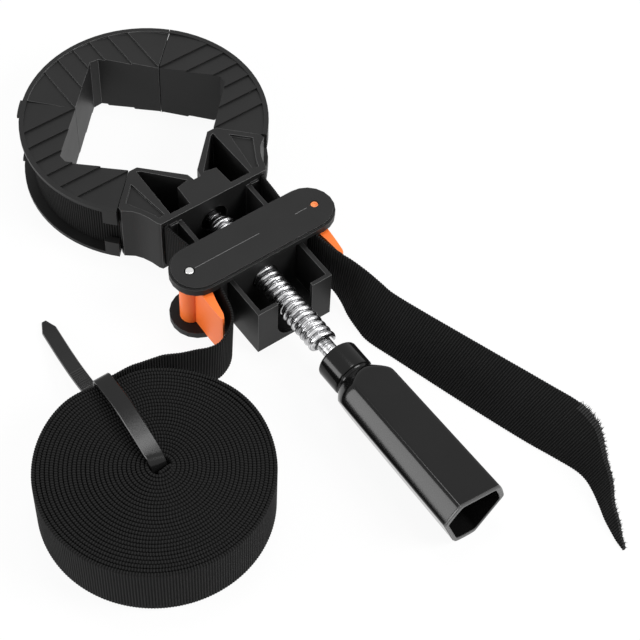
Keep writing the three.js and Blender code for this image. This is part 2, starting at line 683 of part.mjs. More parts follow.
const pinTop = plateTop + pinHead;
const slider = group(
  piece("carriage_body", carriage(), blackPlastic),
  piece("tension_nut", nut(), zinc),
  piece("left_pivot_pin", post(-pinX, 0, pinRadius, pinFoot, pinTop), zinc),
  piece("right_pivot_pin", post(pinX, 0, pinRadius, pinFoot, plateTop - pinSink), zinc),
  placed(piece("left_cam_lever", lever(), orangePlastic), -pinX, 0),
  placed(piece("right_cam_lever", lever().mirror([1, 0, 0]), orangePlastic), pinX, -rightLean),
  piece("band_lead", strap(leaning(leadRoute), bandThickness), webbing),
  piece("band_tail", strap(leaning(tailRoute), bandThickness), webbing),
  piece("band_coil", strap(onEdge(coil), bandThickness), webbing),
  piece("cable_tie", cableTie(), nylon));
slider.position.y = carriageY;

const jaws = group(
  placed(piece("left_jaw", jaw(-1, 1, 1), blackPlastic), 0, 90),
  placed(piece("far_jaw", jaw(0, 0, 1), blackPlastic), 0, 0),
  placed(piece("right_jaw", jaw(1, 0, -1), blackPlastic), 0, -90),
  piece("band_left_wrap", strap(ringArc(135 + seamTurn, 225 - seamTurn), bandThickness), webbing),
  piece("band_far_left", strap(ringArc(90 + seamTurn, 135 - seamTurn), bandThickness), webbing),
  piece("band_far_right", strap(ringArc(45 + seamTurn, 90 - seamTurn), bandThickness), webbing),
  piece("band_right_wrap", strap(ringArc(-45 + seamTurn, 45 - seamTurn), bandThickness), webbing));

const clamp = group(head, drive, slider, jaws);
clamp.position.y = -(ringRadius + gripRear) / 2;

export default clamp;
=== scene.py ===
"""Band clamp for frames: the looks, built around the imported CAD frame.

Sizes are in millimetres about the ring's centre, and mm() turns them into metres in the frame.
"""
import math
import random

import bmesh
import bpy
from mathutils import Matrix, Vector


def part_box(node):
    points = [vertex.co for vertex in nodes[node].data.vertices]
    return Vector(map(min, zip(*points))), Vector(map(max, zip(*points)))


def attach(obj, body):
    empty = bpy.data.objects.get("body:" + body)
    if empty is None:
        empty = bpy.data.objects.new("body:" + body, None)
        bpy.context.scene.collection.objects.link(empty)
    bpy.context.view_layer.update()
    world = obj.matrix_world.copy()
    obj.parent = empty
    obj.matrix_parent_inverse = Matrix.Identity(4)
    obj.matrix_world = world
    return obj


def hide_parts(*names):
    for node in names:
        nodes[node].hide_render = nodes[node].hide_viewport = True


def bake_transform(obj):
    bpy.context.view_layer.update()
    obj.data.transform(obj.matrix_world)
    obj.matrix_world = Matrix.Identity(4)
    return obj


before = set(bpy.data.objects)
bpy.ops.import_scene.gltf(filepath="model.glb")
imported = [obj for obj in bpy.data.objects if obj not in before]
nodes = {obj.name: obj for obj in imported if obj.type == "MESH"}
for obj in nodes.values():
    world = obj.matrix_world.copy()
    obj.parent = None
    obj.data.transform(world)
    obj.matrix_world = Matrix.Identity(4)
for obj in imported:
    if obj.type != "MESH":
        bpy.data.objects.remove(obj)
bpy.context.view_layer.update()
bpy.ops.object.select_all(action="DESELECT")

# Where the ring's centre, the carriage and the screw lie in the frame
per_metre = 1000
ring_radius = 52.1
ring_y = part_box("far_jaw")[1].y * per_metre - ring_radius
carriage_y = sum(corner.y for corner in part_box("left_pivot_pin")) * per_metre / 2 - ring_y
axis_z = 15.4

# Camera, fitted to the photograph: its place about the ring's centre, its axes, its lens and its reach
camera_place = (-266.07, -461.82, 615.0)
camera_right = (0.81022, -0.58524, 0.03209)
camera_up = (0.4580, 0.6663, 0.5885)
camera_lens = 105.54
sensor_width = 36.0
camera_reach = 20000

# World: its strength on plain surfaces, and where it is seen or reflected
white = (1, 1, 1, 1)
world_strength, seen_strength = 0.5, 1.0

# Floor: its size, how far it lies below the part, and its finish
floor_size, floor_depth = 9000, 0.05
floor_tone, floor_roughness = 0.93, 0.8
# Share of the floor that looks plain white, whatever shadow falls on it
floor_white_share = 0.93

# Lamps: name, place, width and power of each, and the point that they face
lamps = (("key", (500, -700, 700), 500, 8), ("left", (-970, 230, 300), 500, 5),
         ("top", (150, 120, 1150), 350, 3))
lamp_aim = (0, -90, 10)

# Band: its size, its cross ribs and yarns, and where it stands round the ring
band_width = 25.0
band_thickness = 1.2
rib_pitch = 1.1
rib_height = 0.2
yarn_pitch = 0.55
ring_band_radius = 47.2
ring_band_bottom = 2.0


def mm(*values):
    """Millimetres about the ring's centre to metres in the frame, or one length to metres."""
    if len(values) == 1:
        return values[0] / per_metre
    x, y, z = values
    return Vector((x / per_metre, (y + ring_y) / per_metre, z / per_metre))


# Nodes of the world and of materials
def grey(tone):
    return tone, tone, tone


def link(tree, start, end):
    tree.links.new(start, end)


def set_up(node, **values):
    """Sets a node's settings and its sockets' values by name."""
    for key, value in values.items():
        if hasattr(node, key):
            setattr(node, key, value)
        else:
            node.inputs[key.replace("_", " ")].default_value = value
    return node


def add_node(tree, kind, **values):
    return set_up(tree.nodes.new(kind), **values)


def feed(tree, node, **sockets):
    """Links sockets to a node's inputs by name."""
    for key, socket in sockets.items():
        link(tree, socket, node.inputs[key.replace("_", " ")])


def maths(tree, operation, *given):
    """What a Math node makes of sockets and numbers."""
    node = add_node(tree, "ShaderNodeMath", operation=operation)
    for socket, value in zip(node.inputs, given):
        if isinstance(value, (int, float)):
            socket.default_value = value
        else:
            link(tree, value, socket)
    return node.outputs[0]


def mix_colors(tree, share, dark, light):
    """A colour between two, each of them a colour or a socket."""
    mix = add_node(tree, "ShaderNodeMix", data_type="RGBA")
    feed(tree, mix, Factor=share)
    for key, color in (("A", dark), ("B", light)):
        if isinstance(color, tuple):
            mix.inputs[key].default_value = (*color, 1)
        else:
            link(tree, color, mix.inputs[key])
    return mix.outputs["Result"]


def mix_shaders(tree, share, first, second, out):
    mix = add_node(tree, "ShaderNodeMixShader")
    for socket, start in zip(mix.inputs, (share, first.outputs[0], second.outputs[0])):
        link(tree, start, socket)
    feed(tree, out, Surface=mix.outputs[0])


def new_material(name):
    material = bpy.data.materials.new(name)
    material.use_nodes = True
    tree = material.node_tree
    return material, tree, tree.nodes["Principled BSDF"]


def seen_or_reflected(tree, most=1.0):
    """Up to most where the camera, a glossy ray or a clear ray meets it, and 0 for other rays."""
    path = add_node(tree, "ShaderNodeLightPath").outputs
    both = maths(tree, "MAXIMUM", path["Is Camera Ray"], path["Is Glossy Ray"])
    every = maths(tree, "MAXIMUM", both, path["Is Transmission Ray"])
    return maths(tree, "MULTIPLY", every, most)


# Camera, floor and light
def set_camera():
    right, up = Vector(camera_right).normalized(), Vector(camera_up).normalized()
    back = right.cross(up).normalized()
    up = back.cross(right)
    turn = Matrix((right, up, back)).transposed().to_4x4()
    data = bpy.data.cameras.new("view")
    data.lens, data.sensor_width = camera_lens, sensor_width
    data.clip_end = mm(camera_reach)
    camera = bpy.data.objects.new("view", data)
    camera.matrix_world = Matrix.Translation(mm(*camera_place)) @ turn
    bpy.context.scene.collection.objects.link(camera)
    bpy.context.scene.camera = camera


def set_world():
    world = bpy.data.worlds.new("studio")
    world.use_nodes = True
    tree = world.node_tree
    tree.nodes.clear()
    soft = add_node(tree, "ShaderNodeBackground", Color=white, Strength=world_strength)
    seen = add_node(tree, "ShaderNodeBackground", Color=white, Strength=seen_strength)
    out = add_node(tree, "ShaderNodeOutputWorld")
    mix_shaders(tree, seen_or_reflected(tree), soft, seen, out)
    bpy.context.scene.world = world


def set_floor():
    bpy.ops.mesh.primitive_plane_add(size=mm(floor_size), location=(0, 0, -mm(floor_depth)))
    floor = bpy.context.object
    floor.name = "floor"
    material, tree, shader = new_material("white_floor")
    set_up(shader, Base_Color=(*grey(floor_tone), 1), Roughness=floor_roughness, Specular_IOR_Level=0)
    seen = add_node(tree, "ShaderNodeEmission", Color=white, Strength=seen_strength)
    out = tree.nodes["Material Output"]
    mix_shaders(tree, seen_or_reflected(tree, floor_white_share), shader, seen, out)
    floor.data.materials.append(material)


def soft_lamp(name, at, size, power):
    data = bpy.data.lights.new(name, "AREA")
    data.shape, data.size, data.energy = "DISK", mm(size), power
    lamp = bpy.data.objects.new(name, data)
    lamp.location = mm(*at)
    lamp.rotation_euler = (mm(*lamp_aim) - lamp.location).to_track_quat("-Z", "Y").to_euler()
    bpy.context.scene.collection.objects.link(lamp)


set_camera()
set_world()
set_floor()
for lamp_row in lamps:
    soft_lamp(*lamp_row)

# Moulded grain and its blotches: how fine and how detailed each is, and the noise's middle value
grain_scale, grain_detail = 900.0, 3.0
blotch_scale, blotch_detail = 60.0, 2.0
noise_middle = 0.5
# How far a bump of full strength seems to rise
bump_reach = 0.2
# Weave: the noise that roughens it, the relief of yarns and fuzz as shares of a rib's, and its gloss
fuzz_scale, fuzz_detail = 2.2, 4.0
yarn_share, fuzz_share = 0.35, 0.5
weave_bump = 0.7
weave_roughness, rib_gloss = 0.85, 0.15
# Rolled lines: how fine they are across and along the screw, and the noise's values that they run between
line_scale = (140, 1900, 140)
line_detail = 3.0
line_start, line_end = 0.35, 0.62
line_bump = 0.5

# Kinds of socket
number, tint, direction = "NodeSocketFloat", "NodeSocketColor", "NodeSocketVector"


# Material effects that several finishes share
def new_group(name, inputs, outputs):
    """An empty node group. An input's row is its name, its kind and, if need be, its usual value."""
    group = bpy.data.node_groups.new(name, "ShaderNodeTree")
    for socket, kind, *usual in inputs:
        made = group.interface.new_socket(socket, in_out="INPUT", socket_type=kind)
        if usual:
            made.default_value = usual[0]
    for socket, kind in outputs:
        group.interface.new_socket(socket, in_out="OUTPUT", socket_type=kind)
    return group, group.nodes.new("NodeGroupInput"), group.nodes.new("NodeGroupOutput")


def make_grain():
    """Fine moulded grain, and soft blotches of gloss and tone."""
    group, given, out = new_group(
        "moulded_grain",
        (("Scale", number, grain_scale), ("Roughness", number), ("Spread", number), ("Depth", number)),
        (("Roughness", number), ("Normal", direction), ("Blotch", number)))
    spot = add_node(group, "ShaderNodeTexCoord").outputs["Object"]
    fine = add_node(group, "ShaderNodeTexNoise", Detail=grain_detail)
    broad = add_node(group, "ShaderNodeTexNoise", Scale=blotch_scale, Detail=blotch_detail)
    feed(group, fine, Vector=spot, Scale=given.outputs["Scale"])
    feed(group, broad, Vector=spot)
    blotch = broad.outputs["Fac"]
    centred = maths(group, "SUBTRACT", blotch, noise_middle)
    rough = maths(group, "MULTIPLY_ADD", centred, given.outputs["Spread"], given.outputs["Roughness"])
    bump = add_node(group, "ShaderNodeBump", Distance=mm(bump_reach))
    feed(group, bump, Strength=given.outputs["Depth"], Height=fine.outputs["Fac"])
    feed(group, out, Roughness=rough, Normal=bump.outputs["Normal"], Blotch=blotch)
    return group


def wave(group, length, pitch):
    """0 to 1 and back, once in each pitch."""
    angle = maths(group, "MULTIPLY", maths(group, "DIVIDE", length, pitch), 2 * math.pi)
    return maths(group, "MULTIPLY_ADD", maths(group, "COSINE", angle), 0.5, 0.5)


def make_weave():
    """Cross ribs of a woven band, from a UV map in millimetres along and across it. Its colour is painted
    shade between the ribs and painted highlight on their crests and bright fibres.
    """
    group, given, out = new_group(
        "webbing_weave",
        (("Rib pitch", number, rib_pitch), ("Yarn pitch", number, yarn_pitch), ("Dark", tint),
         ("Light", tint)),
        (("Color", tint), ("Normal", direction), ("Roughness", number)))
    spot = add_node(group, "ShaderNodeUVMap", uv_map="weave").outputs["UV"]
    parts = add_node(group, "ShaderNodeSeparateXYZ")
    fuzz = add_node(group, "ShaderNodeTexNoise", Scale=fuzz_scale, Detail=fuzz_detail)
    feed(group, parts, Vector=spot)
    feed(group, fuzz, Vector=spot)
    rib = wave(group, parts.outputs[0], given.outputs["Rib pitch"])
    yarn = wave(group, parts.outputs[1], given.outputs["Yarn pitch"])
    relief = maths(group, "MULTIPLY_ADD", yarn, yarn_share, rib)
    rough = maths(group, "MULTIPLY_ADD", fuzz.outputs["Fac"], fuzz_share, relief)
    bump = add_node(group, "ShaderNodeBump", Strength=weave_bump, Distance=mm(bump_reach))
    feed(group, bump, Height=rough)
    # Painted light: darker between the ribs as painted shade, lighter on rib crests and fibres as painted
    # highlight
    tone = maths(group, "MULTIPLY", rib, fuzz.outputs["Fac"])
    color = mix_colors(group, tone, given.outputs["Dark"], given.outputs["Light"])
    gloss = maths(group, "MULTIPLY_ADD", rib, -rib_gloss, weave_roughness)
    feed(group, out, Color=color, Normal=bump.outputs["Normal"], Roughness=gloss)
    return group


grain_group = make_grain()
weave_group = make_weave()


def moulded(name, dark, light, roughness, specular, spread=0.1, depth=0.1, metallic=0):
    """A moulded or plated finish with grain, its tone drifting between two colours."""
    material, tree, shader = new_material(name)
    grain = add_node(tree, "ShaderNodeGroup", node_tree=grain_group, Roughness=roughness, Spread=spread,
                     Depth=depth)
    color = mix_colors(tree, grain.outputs["Blotch"], dark, light)
    feed(tree, shader, Base_Color=color, Roughness=grain.outputs["Roughness"],
         Normal=grain.outputs["Normal"])
    set_up(shader, Specular_IOR_Level=specular, Metallic=metallic)
    return material


def rolled(name, dark, light, roughness):
    """Bright metal with the fine lines round it that rolling leaves, their grooves darker."""
    material, tree, shader = new_material(name)
    spot = add_node(tree, "ShaderNodeTexCoord").outputs["Object"]
    mapping = add_node(tree, "ShaderNodeMapping", Scale=line_scale)
    noise = add_node(tree, "ShaderNodeTexNoise", Scale=1, Detail=line_detail)
    ramp = add_node(tree, "ShaderNodeMapRange", From_Min=line_start, From_Max=line_end)
    feed(tree, mapping, Vector=spot)
    feed(tree, noise, Vector=mapping.outputs["Vector"])
    feed(tree, ramp, Value=noise.outputs["Fac"])
    lines = ramp.outputs["Result"]
    bump = add_node(tree, "ShaderNodeBump", Strength=line_bump, Distance=mm(bump_reach))
    feed(tree, bump, Height=lines)
    feed(tree, shader, Base_Color=mix_colors(tree, lines, dark, light), Normal=bump.outputs["Normal"])
    set_up(shader, Roughness=roughness, Metallic=1)
    return material


def woven(name, dark, light, specular):
    """Ribbed webbing, with painted shade between its ribs and a painted highlight on them."""
    material, tree, shader = new_material(name)
    weave = add_node(tree, "ShaderNodeGroup", node_tree=weave_group, Dark=(*dark, 1), Light=(*light, 1))
    for start, end in (("Color", "Base Color"), ("Roughness", "Roughness"), ("Normal", "Normal")):
        link(tree, weave.outputs[start], shader.inputs[end])
    set_up(shader, Specular_IOR_Level=specular)
    return material


# Finishes, each with the darker and the lighter of its tones
satin_black = moulded("satin_black_plastic", grey(0.010), grey(0.015), roughness=0.45, specular=0.18)
# Lighter black of rounded edges and mould lines: a painted highlight where edges catch the light
satin_painted_highlight = moulded("satin_black_painted_highlight", grey(0.095), grey(0.13), roughness=0.35, specular=0.5)
gloss_black = moulded("gloss_black_plastic", grey(0.004), grey(0.006), roughness=0.15, specular=0.22,
                      spread=0.05, depth=0.02)
orange = moulded("orange_plastic", (1.0, 0.17, 0.026), (1.0, 0.22, 0.042), roughness=0.4, specular=0.3,
                 depth=0.06)
# Lighter orange of the cam tongues' rounded edges and of the post: a painted highlight
orange_painted_highlight = moulded("orange_painted_highlight", (1.0, 0.27, 0.08), (1.0, 0.32, 0.11), roughness=0.35, specular=0.4)
# Lighter black of the handle's rim: a painted highlight
gloss_painted_highlight = moulded("gloss_black_painted_highlight", grey(0.055), grey(0.075), roughness=0.3, specular=0.4)
nylon = moulded("black_nylon", grey(0.006), grey(0.009), roughness=0.2, specular=0.23, spread=0.12,
                depth=0.05)
# Lighter nylon of the tie strap's rounded edges: a painted highlight
nylon_painted_highlight = moulded("black_nylon_painted_highlight", grey(0.09), grey(0.13), roughness=0.3, specular=0.5)
zinc = moulded("bright_zinc", grey(0.52), (0.68, 0.68, 0.67), roughness=0.3, specular=0.5, spread=0.15,
               depth=0.05, metallic=1)
# Dark steel of the clip, washer and nut; on the screw's front shank the same dark is painted shade
dark_steel_and_painted_shade = moulded("dark_steel_and_painted_shade", grey(0.020), grey(0.035), roughness=0.4, specular=0.5, metallic=1)
rolled_zinc = rolled("rolled_zinc", (0.16, 0.16, 0.165), (0.74, 0.74, 0.75), roughness=0.22)
# Each webbing's darker tone is painted shade between its ribs, and its lighter one a painted highlight on
# them
webbing = woven("black_webbing", grey(0.0015), grey(0.025), specular=0.12)
frayed = woven("frayed_webbing", grey(0.003), grey(0.08), specular=0.18)

# Angles in degrees below which an edge is shaded round, on plastic, nylon, the screw and a band
plastic_angle, nylon_angle, screw_angle, band_angle = 35, 30, 50, 60
# Angles above which an edge is rounded, on a moulding and on a small plain piece
moulding_angle, sharp_angle = 30, 40
# Angle below which neighbouring faces of a moulding become one
flat_angle = 1.5
# How strongly large faces draw a moulding's shading to themselves
flats_weight = 80
# Points closer than this are one, on a CAD node's copy and on the thread
copy_gap, thread_gap = 0.02, 0.001
# Sides of a plain cylinder and of each turn of the thread, and sides of a pin
round_sides, pin_sides = 48, 40


# Ways of making pieces
def alone(piece):
    """Makes one object the only selected and active one."""
    bpy.ops.object.select_all(action="DESELECT")
    piece.select_set(True)
    bpy.context.view_layer.objects.active = piece


def apply_modifier(piece, kind, **values):
    alone(piece)
    modifier = piece.modifiers.new(kind.lower(), kind)
    for key, value in values.items():
        setattr(modifier, key, value)
    bpy.ops.object.modifier_apply(modifier=modifier.name)


def round_edges(piece, width, segments, angle=sharp_angle, **values):
    apply_modifier(piece, "BEVEL", width=mm(width), segments=segments, limit_method="ANGLE",
                   angle_limit=math.radians(angle), **values)


def place(piece):
    """Leaves the object at the origin, with its place in its mesh."""
    alone(piece)
    bpy.ops.object.transform_apply(location=True, rotation=True, scale=True)


def block(middle, size):
    bpy.ops.mesh.primitive_cube_add(size=1, location=middle)
    piece = bpy.context.object
    piece.scale = size
    place(piece)
    return piece


def cylinder(radius, length, middle, sides=round_sides, lying=False):
    """A cylinder, its sizes in metres, that stands up or lies along the screw."""
    bpy.ops.mesh.primitive_cylinder_add(vertices=sides, radius=radius, depth=length, location=middle,
                                        rotation=(math.pi / 2 if lying else 0, 0, 0))
    piece = bpy.context.object
    place(piece)
    return piece


def add_object(name, mesh):
    piece = bpy.data.objects.new(name, mesh)
    bpy.context.scene.collection.objects.link(piece)
    return piece


def paint(piece, *materials):
    """Gives a piece its finishes, and keeps which face takes which."""
    taken = [face.material_index for face in piece.data.polygons]
    piece.data.materials.clear()
    for material in materials:
        piece.data.materials.append(material)
    for face, index in zip(piece.data.polygons, taken):
        face.material_index = min(index, len(materials) - 1)


def finish(piece, name, body, slot, *replaced, angle=plastic_angle, flats=True):
    """Puts a painted piece at the origin, smooths it and hangs it on its body."""
    piece.name = name
    place(piece)
    bpy.ops.object.shade_smooth_by_angle(angle=math.radians(angle))
    if flats:
        apply_modifier(piece, "WEIGHTED_NORMAL", keep_sharp=True, weight=flats_weight)
    if body:
        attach(piece, body)
    if replaced:
        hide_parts(*replaced)


def finish_band(strip, name, body, *replaced, finishes=(webbing,)):
    paint(strip, *finishes)
    finish(strip, name, body, "webbing", *replaced, angle=band_angle, flats=False)


def softened(node, width, face_finish, highlight_finish, segments=2):
    """A copy of a CAD node with its faces merged and its edges rounded, as a mould leaves them; the rounded
    edges take the lighter second finish, a painted highlight.
    """
    piece = nodes[node].copy()
    piece.data = nodes[node].data.copy()
    piece.parent = None
    for key in list(piece.keys()):
        del piece[key]
    bpy.context.scene.collection.objects.link(piece)
    for face in piece.data.polygons:
        face.material_index = 0
    paint(piece, face_finish, highlight_finish)
    alone(piece)
    bpy.ops.object.mode_set(mode="EDIT")
    bpy.ops.mesh.select_all(action="SELECT")
    bpy.ops.mesh.remove_doubles(threshold=mm(copy_gap))
    bpy.ops.mesh.dissolve_limited(angle_limit=math.radians(flat_angle))
    bpy.ops.object.mode_set(mode="OBJECT")
    round_edges(piece, width, segments, moulding_angle, material=1, use_clamp_overlap=True)
    return piece


# Step of a smooth path's fine points, the fewest of them in one stretch, and a length near nothing
fine_step, fewest_steps, tiny_length = 0.5, 4, 1e-12


def smooth_path(points, spacing):
    """Points on a smooth curve through the given ones, evenly spaced, and the curve's length."""
    dense = []
    count = len(points)
    for i in range(count - 1):
        p0, p1, p2, p3 = (Vector(points[min(max(k, 0), count - 1)]) for k in (i - 1, i, i + 1, i + 2))
        steps = max(fewest_steps, int((p2 - p1).length / mm(fine_step)))
        for k in range(steps):
            t = k / steps
            dense.append(0.5 * ((2 * p1) + (p2 - p0) * t + (2 * p0 - 5 * p1 + 4 * p2 - p3) * t ** 2
                                + (3 * p1 - p0 - 3 * p2 + p3) * t ** 3))
    dense.append(Vector(points[-1]))
    lengths = [0]
    for a, b in zip(dense, dense[1:]):
        lengths.append(lengths[-1] + (b - a).length)
    steps = max(2, round(lengths[-1] / spacing))
    even, k = [], 0
    for i in range(steps + 1):
        goal = lengths[-1] * i / steps
        while k < len(lengths) - 2 and lengths[k + 1] < goal:
            k += 1
        share = (goal - lengths[k]) / max(lengths[k + 1] - lengths[k], tiny_length)
        even.append(dense[k].lerp(dense[k + 1], min(max(share, 0), 1)))
    return even, lengths[-1]


# Where a strip has its rows of points, as shares of its width: in the open, and inside the coil
wide_shares = (0, 0.015, 0.04, 0.25, 0.5, 0.75, 0.9, 0.96, 0.985, 1)
coil_shares = (0, 0.02, 0.98, 1)
# Share of the thickness that is left at a selvage, and where across the band its cut edge starts to fray
selvage_share = 0.5
frayed_share = 0.9
# Spacing of a strip's rings of points along it
band_step = 0.22


def skin(name, rows, places=None, marked=None):
    """A closed skin over rings of points. Places holds each point's UV in millimetres, and
    marked(row, column) says which faces take the second finish."""
    shape = bmesh.new()
    uv = shape.loops.layers.uv.new("weave") if places else None
    rings = [[shape.verts.new(at) for at in row] for row in rows]
    width = len(rings[0])
    for i, (first, second) in enumerate(zip(rings, rings[1:])):
        for k in range(width):
            after = (k + 1) % width
            face = shape.faces.new((first[k], second[k], second[after], first[after]))
            if marked and marked(i, k):
                face.material_index = 1
            if places:
                corners = (places[i][k], places[i + 1][k], places[i + 1][after], places[i][after])
                for loop, corner in zip(face.loops, corners):
                    loop[uv].uv = corner
    for ring in (rings[0], rings[-1][::-1]):
        shape.faces.new(ring)
    bmesh.ops.recalc_face_normals(shape, faces=shape.faces)
    mesh = bpy.data.meshes.new(name)
    shape.to_mesh(mesh)
    shape.free()
    return add_object(name, mesh)


def webbing_strip(name, lows, highs, length, shares=wide_shares, thickness=band_thickness, cut_from=None,
                  relief=rib_height):
    """A woven strip between a lower and an upper edge line, with its cross ribs modelled. Past
    cut_from along it, its upper edge is a frayed cut."""
    count = len(lows)
    rows, places = [], []
    order = list(shares) + list(shares[::-1])
    for i in range(count):
        a, b = max(i - 1, 0), min(i + 1, count - 1)
        along = ((lows[b] - lows[a]) + (highs[b] - highs[a])).normalized()
        across_line = highs[i] - lows[i]
        out = along.cross(across_line).normalized()
        u = length * i / (count - 1)
        swell = mm(relief) * 0.5 * (1 + math.cos(2 * math.pi * u / mm(rib_pitch)))
        half = mm(thickness) / 2 - mm(relief) + swell
        bead = across_line.normalized() * (swell - mm(relief) / 2)
        row = []
        for k, share in enumerate(order):
            outermost = share in (0, 1)
            side = 1 if k < len(shares) else -1
            at = lows[i].lerp(highs[i], share) + out * side * half * (selvage_share if outermost else 1)
            if outermost:
                at += bead * (1 if share else -1)
            row.append(at)
        rows.append(row)
        places.append([(u * per_metre, share * across_line.length * per_metre) for share in order])
    frayed_columns = [k for k, share in enumerate(order) if share >= frayed_share]

    def on_the_cut(row, column):
        return cut_from is not None and row > cut_from * count and column in frayed_columns[:-1]

    return skin(name, rows, places, on_the_cut)


def band_on_edge(name, path, spacing=band_step, shares=wide_shares, thickness=band_thickness,
                 relief=rib_height):
    """Band standing on edge along a plan path of (x, y, bottom) points, and its length."""
    lows, length = smooth_path([mm(*point) for point in path], mm(spacing))
    highs = [low + Vector((0, 0, mm(band_width))) for low in lows]
    return webbing_strip(name, lows, highs, length, shares, thickness, relief=relief), length


def leaning_band(name, route, cut_from=None):
    """A strip along a route of the free band, its length, and its centre line and two edge lines."""
    low_points, high_points = [], []
    for x, y, z, lean_x, lean_y, *left in route:
        width = band_width * (left[0] if left else 1)
        rise = math.sqrt(1 - lean_x ** 2 - lean_y ** 2)
        low_points.append(mm(x, y + carriage_y, z))
        high_points.append(mm(x + lean_x * width, y + carriage_y + lean_y * width, z + rise * width))
    lows = smooth_path(low_points, mm(band_step))[0]
    highs = smooth_path(high_points, mm(band_step) / 2)[0]
    count = len(lows)
    last = len(highs) - 1
    paired = [highs[round(i * last / (count - 1))] for i in range(count)]
    centre = [low.lerp(high, 0.5) for low, high in zip(lows, paired)]
    length = sum((b - a).length for a, b in zip(centre, centre[1:]))
    return webbing_strip(name, lows, paired, length, cut_from=cut_from), length, (centre, lows, paired)


# Routes of the free band, about the carriage: lower edge, lean in X and Y, share of the width left
lead_route = [
    (-21.7, -0.2, 3.35, 0, 0), (-21.7, -3.1, 3.35, 0, 0), (-22.1, -7.1, 3.35, 0, 0),
    (-23.2, -12.1, 3.2, 0, 0), (-23.9, -14.9, 2.8, 0.01, 0), (-25.3, -19.9, 2, 0.03, 0.01),
    (-27.4, -24.4, 1.2, 0.06, 0.04), (-30.2, -27.4, 0.5, 0.06, 0.02), (-33.6, -29.3, 0.2, 0.03, -0.01),
    (-37.2, -30.4, 0.2, 0, -0.04), (-42, -30.2, 0.2, 0, -0.03), (-46, -28.8, 0.2, 0, -0.02),
    (-52, -26.6, 0.2, 0, -0.02), (-57.8, -24.2, 0.2, 0, 0), (-62, -23.2, 0.3, 0, 0),
    (-67, -22.5, 0.8, 0, 0), (-72, -21.8, 1.2, 0, 0), (-80.7, -21.9, 1.5, 0, 0)]
tail_route = [
    (21.7, -0.2, 3.35, 0, 0), (21.7, -3.1, 3.35, 0, 0), (22.2, -7.1, 3.35, 0, 0),
    (23.3, -12.1, 3.3, 0, 0), (24.1, -16.6, 3.1, 0, 0), (24.5, -20.8, 2.8, 0.02, 0.01),
    (24.6, -24.5, 2.3, 0.06, 0.02), (24.2, -29.1, 1.3, 0.17, 0.02), (22.9, -35.1, 0.5, 0.32, 0),
    (22, -42.6, 0.4, 0.42, 0.02), (22, -50.1, 0.4, 0.47, 0.06), (26.1, -64.5, 0.4, 0.47, 0.12),
    (34.5, -93.5, 0.5, 0.55, 0.17), (42.9, -120.4, 0.5, 0.61, 0.2), (48.3, -135.2, 0.5, 0.55, 0.23),
    (51.2, -143.6, 0.5, 0.46, 0.2, 0.94), (51.9, -149.1, 0.5, 0.44, 0.25, 0.85),
    (50.9, -154.7, 0.5, 0.45, 0.2, 0.63), (48.6, -161.6, 0.5, 0.5, 0.17, 0.49),
    (46.3, -167.6, 0.5, 0.47, 0.13, 0.34), (44.8, -173.1, 0.5, 0.5, 0.04, 0.23),
    (43.9, -177.1, 0.5, 0.5, 0, 0.13), (43.6, -181.2, 0.4, 0.3, 0, 0.05)]

# Moulded pieces, each with its body and the width of its rounded edges, and that of the cams
moulded_pieces = (
    ("clamp_body", "frame", 0.35), ("left_jaw", "left_jaw_body", 0.25), ("far_jaw", "far_jaw_body", 0.25),
    ("right_jaw", "right_jaw_body", 0.25), ("carriage_body", "carriage", 0.45))
cam_edge = 0.5


def make_moulded():
    for node, body, width in moulded_pieces:
        # Rounded edges take the lighter black, a painted highlight
        piece = softened(node, width, satin_black, satin_painted_highlight)
        finish(piece, node + "_moulding", body, "body_plastic", node)
    for side in ("left", "right"):
        # Rounded edges take the lighter orange, a painted highlight
        tongue = softened(side + "_cam_lever", cam_edge, orange, orange_painted_highlight, segments=3)
        finish(tongue, side + "_cam_tongue", side + "_cam", "orange_plastic", side + "_cam_lever")


# Carriage plate: its mould line, and the post that shows in the right-hand hole
plate_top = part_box("carriage_body")[1].z * per_metre
mould_line_runs = ((-27.6, 3), (20.5, 26.3))
mould_line_half_width, mould_line_rise = 0.11, 0.07
pin_x = 30.1
sunk_hole_radius = 2.9
bushing_hole_radius = 1.75
bushing_depth = 2.4
post_radius = 1.6
post_sink = 0.45
post_rim, post_dimple, post_round = 0.55, 0.5, 0.15
# A level face counts as the highest within this height, and if it faces up by this share
level_gap, upward_share = 0.001, 0.9


def make_mould_line():
    for first, last in mould_line_runs:
        line = block(mm((first + last) / 2, carriage_y, plate_top),
                     mm(1) * Vector((last - first, 2 * mould_line_half_width, 2 * mould_line_rise)))
        bpy.ops.object.mode_set(mode="EDIT")
        bpy.ops.mesh.select_all(action="SELECT")
        bpy.ops.mesh.bevel(offset=mm(mould_line_rise) / 2, segments=1)
        bpy.ops.object.mode_set(mode="OBJECT")
        # The mould line takes the lighter black as a painted highlight
        paint(line, satin_painted_highlight)
        name = "mould_line_" + ("left" if first < 0 else "right")
        finish(line, name, "carriage", "body_plastic", flats=False)


def sink_top(piece, rim, depth):
    """Sinks the highest level face of a piece, all but a rim."""
    bpy.ops.object.mode_set(mode="EDIT")
    bpy.ops.mesh.select_mode(type="FACE")
    bpy.ops.mesh.select_all(action="DESELECT")
    bpy.ops.object.mode_set(mode="OBJECT")
    highest = max(face.center.z for face in piece.data.polygons)
    for face in piece.data.polygons:
        face.select = face.center.z > highest - mm(level_gap) and face.normal.z > upward_share
    bpy.ops.object.mode_set(mode="EDIT")
    bpy.ops.mesh.inset(thickness=mm(rim))
    bpy.ops.mesh.extrude_region_move(TRANSFORM_OT_translate={"value": (0, 0, -mm(depth))})
    bpy.ops.object.mode_set(mode="OBJECT")


